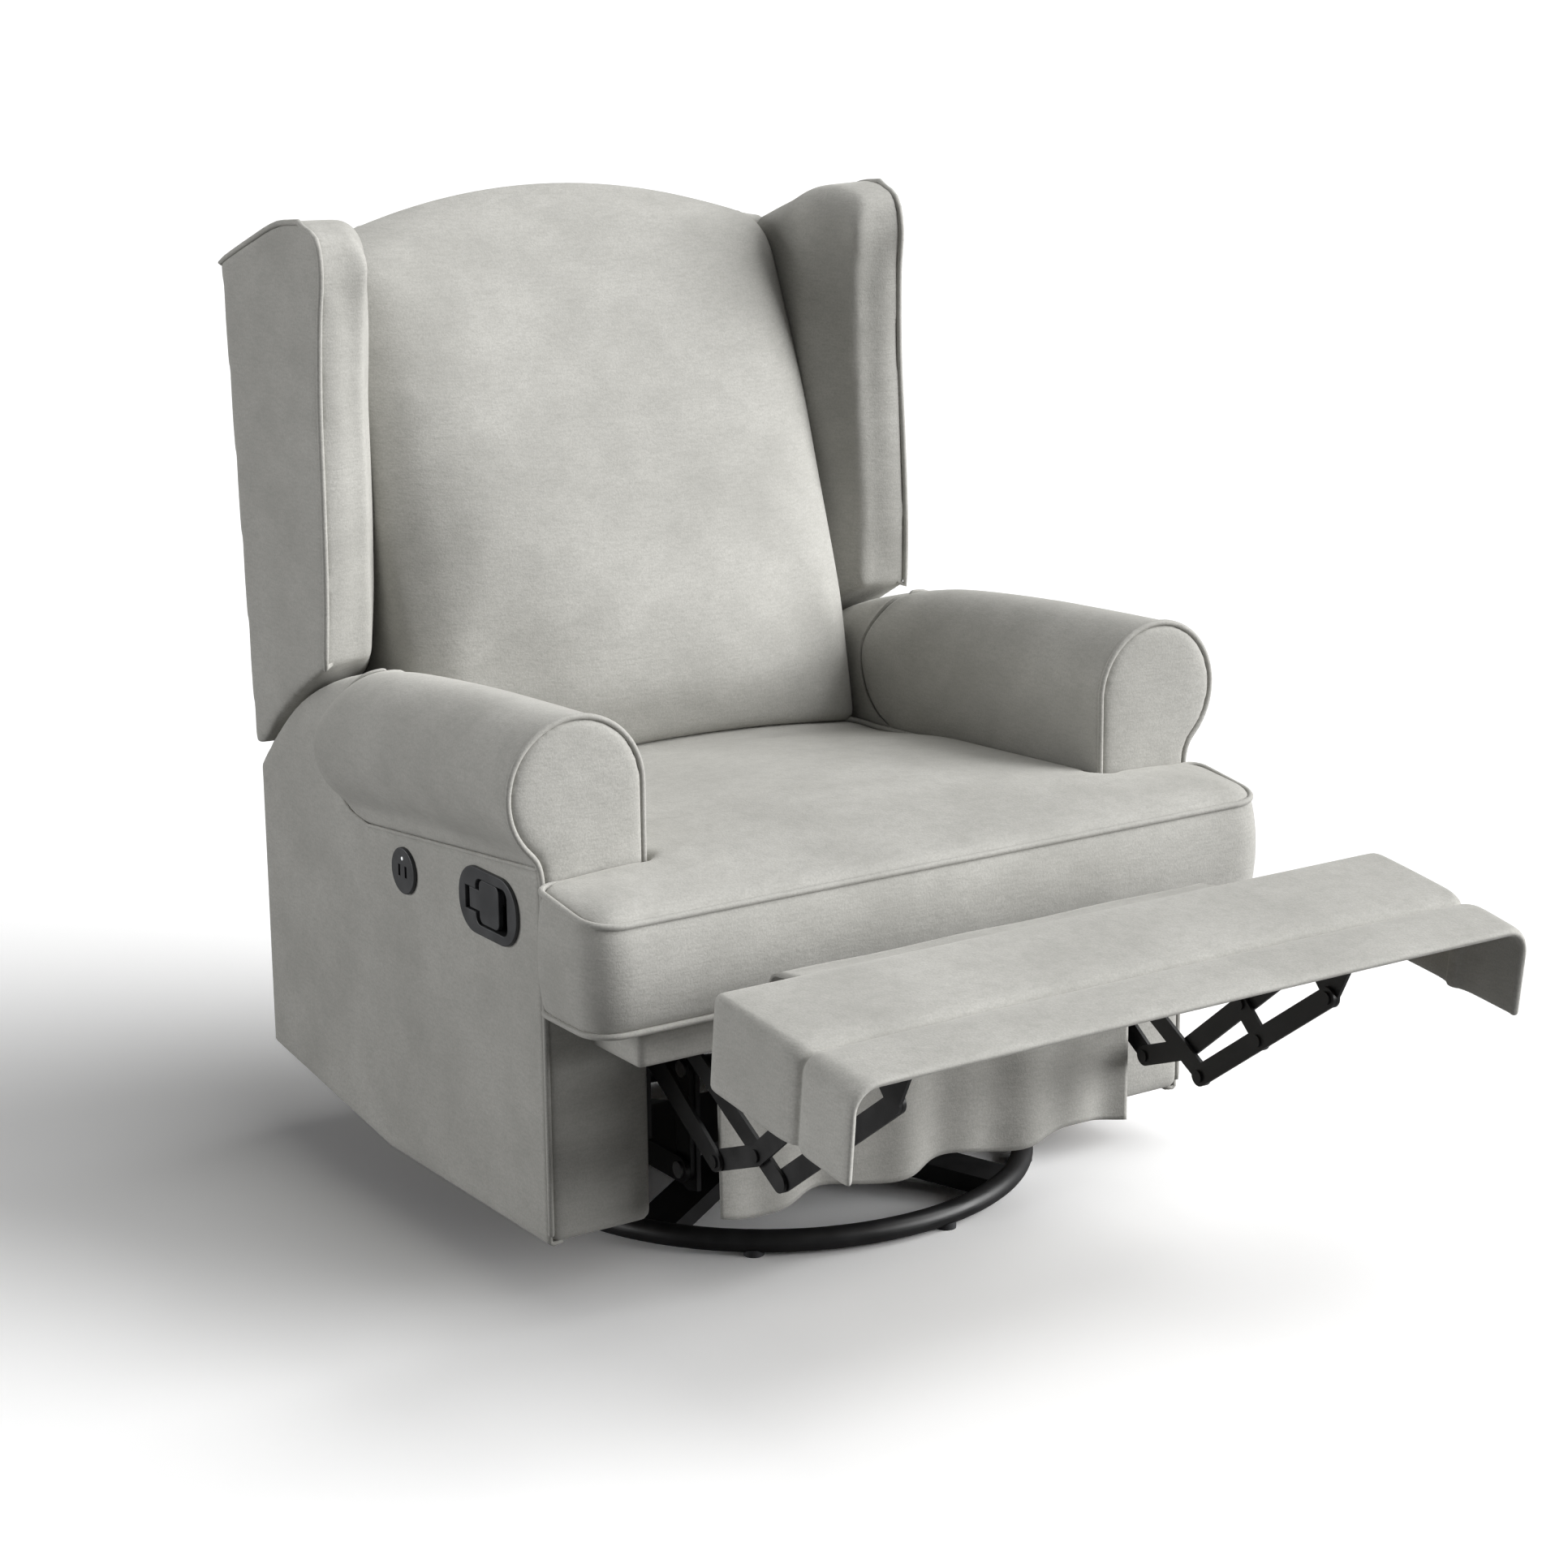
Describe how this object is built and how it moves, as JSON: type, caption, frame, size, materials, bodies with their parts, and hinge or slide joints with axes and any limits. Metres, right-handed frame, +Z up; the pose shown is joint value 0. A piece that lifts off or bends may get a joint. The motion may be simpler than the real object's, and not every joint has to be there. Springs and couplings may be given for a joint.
{
  "type": "glider recliner",
  "caption": "Wingback swivel glider recliner with rolled arms, T-shaped seat cushion and a skirted footrest that folds out on steel scissor links over a round tube base",
  "frame": {"origin": "on the swivel axis at floor level", "axes": "+Z up, -Y is the way the sitter faces, +X is the sitter's left hand"},
  "size_m": [0.88, 1.2374, 1.048],
  "materials": {
    "upholstery": "brushed short-nap weave",
    "frame_wood": "bare plywood and hardwood",
    "black_steel": "satin black",
    "bright_steel": "zinc plated",
    "dark_plastic": "fine grain",
    "webbing": "woven webbing"
  },
  "bodies": {
    "base": {"base_ring": "black_steel", "cross_bars": "black_steel", "floor_glides": "dark_plastic", "lower_race": "black_steel", "king_bolt": "bright_steel"},
    "swivel": {"upper_race": "black_steel", "swivel_frame": "black_steel", "swing_pins": "bright_steel"},
    "front_links": {"front_swing_links": "black_steel"},
    "rear_links": {"rear_swing_links": "black_steel"},
    "carriage": {"left_glide_rail": "black_steel", "right_glide_rail": "black_steel", "carriage_pins": "bright_steel", "seat_frame": "frame_wood", "front_rail": "upholstery", "cross_tubes": "black_steel", "seat_straps": "webbing", "seat_deck": "webbing", "seat_cushion": "upholstery", "left_side_panel": "upholstery", "right_side_panel": "upholstery", "left_inner_panel": "upholstery", "right_inner_panel": "upholstery", "left_arm_front": "upholstery", "right_arm_front": "upholstery", "left_arm_roll": "upholstery", "right_arm_roll": "upholstery", "left_arm_rear": "upholstery", "right_arm_rear": "upholstery", "left_arm_frame": "frame_wood", "right_arm_frame": "frame_wood", "handle_bezel": "dark_plastic", "charging_socket": "dark_plastic", "release_cable": "dark_plastic", "left_side_plate": "black_steel", "right_side_plate": "black_steel", "plate_spacers": "bright_steel", "front_curtain": "upholstery", "hinge_brackets": "black_steel"},
    "lever": {"release_lever": "dark_plastic"},
    "lift": {"drive_tube": "black_steel", "lift_links": "black_steel"},
    "cross": {"cross_links": "black_steel"},
    "bent": {"bent_links": "black_steel"},
    "coupler": {"coupler_links": "black_steel"},
    "long": {"long_links": "black_steel"},
    "footrest": {"footrest_pad": "upholstery", "footrest_board": "frame_wood", "footrest_brackets": "black_steel", "footrest_flap": "upholstery"},
    "back": {"hinge_arms": "black_steel", "back_frame": "frame_wood", "back_panel": "upholstery", "back_cushion": "upholstery", "left_wing": "upholstery", "right_wing": "upholstery"}
  },
  "joints": [
    {"name": "swivel", "type": "hinge", "parent": "base", "child": "swivel", "pos_m": [0, 0, 0.046], "axis": [0, 0, 1], "continuous": true},
    {"name": "glide", "type": "hinge", "parent": "swivel", "child": "front_links", "pos_m": [0, -0.15, 0.19], "axis": [1, 0, 0], "range_deg": [-18, 18]},
    {"name": "rear_glide", "type": "hinge", "parent": "swivel", "child": "rear_links", "pos_m": [0, 0.15, 0.19], "axis": [1, 0, 0], "range_deg": [-18, 18]},
    {"name": "carriage_level", "type": "hinge", "parent": "front_links", "child": "carriage", "pos_m": [0, -0.15, 0.08], "axis": [1, 0, 0], "range_deg": [-18, 18]},
    {"name": "footrest_fold", "type": "hinge", "parent": "carriage", "child": "cross", "pos_m": [0, -0.2015, 0.2905], "axis": [1, 0, 0], "range_deg": [0, 103.3], "deforming": ["footrest_flap"]},
    {"name": "lift_turn", "type": "hinge", "parent": "carriage", "child": "lift", "pos_m": [0, -0.1385, 0.278], "axis": [1, 0, 0], "range_deg": [0, 102.52]},
    {"name": "bent_turn", "type": "hinge", "parent": "cross", "child": "bent", "pos_m": [0, -0.389, 0.1835], "axis": [1, 0, 0], "range_deg": [-87.06, 0]},
    {"name": "long_turn", "type": "hinge", "parent": "cross", "child": "long", "pos_m": [0, -0.421, 0.165], "axis": [1, 0, 0], "range_deg": [-90.13, 0]},
    {"name": "board_turn", "type": "hinge", "parent": "long", "child": "footrest", "pos_m": [0, -0.6115, 0.303], "axis": [1, 0, 0], "range_deg": [0, 71.3]},
    {"name": "coupler_turn", "type": "hinge", "parent": "bent", "child": "coupler", "pos_m": [0, -0.478, 0.2595], "axis": [1, 0, 0], "range_deg": [0, 73.93]},
    {"name": "recline", "type": "hinge", "parent": "carriage", "child": "back", "pos_m": [0, 0.26, 0.29], "axis": [-1, 0, 0], "range_deg": [0, 28]},
    {"name": "release", "type": "hinge", "parent": "carriage", "child": "lever", "pos_m": [-0.39975, -0.079, 0.392], "axis": [0, 0, -1], "range_deg": [0, 35], "stiffness_Nm_per_rad": 0.4}
  ],
  "couplings": [
    {"joint": "rear_glide", "follows": "glide", "ratio": 1},
    {"joint": "carriage_level", "follows": "glide", "ratio": -1},
    {"joint": "lift_turn", "follows": "footrest_fold", "ratio": 0.99198},
    {"joint": "bent_turn", "follows": "footrest_fold", "ratio": -0.84229},
    {"joint": "long_turn", "follows": "footrest_fold", "ratio": -0.87199},
    {"joint": "board_turn", "follows": "footrest_fold", "ratio": 0.68974},
    {"joint": "coupler_turn", "follows": "footrest_fold", "ratio": 0.71522}
  ]
}
